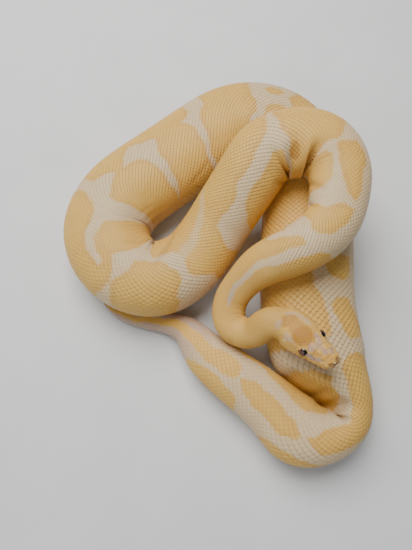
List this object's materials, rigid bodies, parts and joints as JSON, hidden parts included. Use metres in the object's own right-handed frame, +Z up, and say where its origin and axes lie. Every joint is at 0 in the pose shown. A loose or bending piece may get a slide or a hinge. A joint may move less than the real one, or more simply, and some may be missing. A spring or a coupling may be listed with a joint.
{
  "type": "coiled ball python",
  "caption": "Life-size still model of a heavy-bodied snake lying in resting coils, head laid out on its own body, mouth closed, tail tucked under the outer coil.",
  "frame": {"origin": "centre of the bounding box, on the floor that the belly rests on", "axes": "+Z up from the floor, -Y towards the fold of the hind body, where the head points down and to the right, +X towards the right flank of the loops"},
  "size_m": [0.234, 0.3178, 0.0915],
  "materials": {
    "head_skin": "satin scales, peach and orange",
    "jaw_skin": "satin scales, pale peach",
    "body_skin": "satin scales, cream with yellow blotches",
    "tail_skin": "satin scales, yellow above and white below",
    "eye": "wet and very dark red"
  },
  "bodies": {
    "root": {"head": "head_skin", "lower_jaw": "jaw_skin", "eye_left": "eye", "eye_right": "eye", "neck_front": "body_skin", "neck_bend": "body_skin", "trunk_01": "body_skin", "trunk_02": "body_skin", "trunk_03": "body_skin", "trunk_04": "body_skin", "trunk_05": "body_skin", "trunk_06": "body_skin", "trunk_07": "body_skin", "trunk_08": "body_skin", "trunk_09": "body_skin", "trunk_10": "body_skin", "trunk_11": "body_skin", "trunk_12": "body_skin", "trunk_13": "body_skin", "trunk_14": "body_skin", "trunk_15": "body_skin", "trunk_16": "body_skin", "trunk_17": "body_skin", "trunk_18": "body_skin", "tail_base": "tail_skin", "tail_end": "tail_skin"}
  },
  "joints": []
}
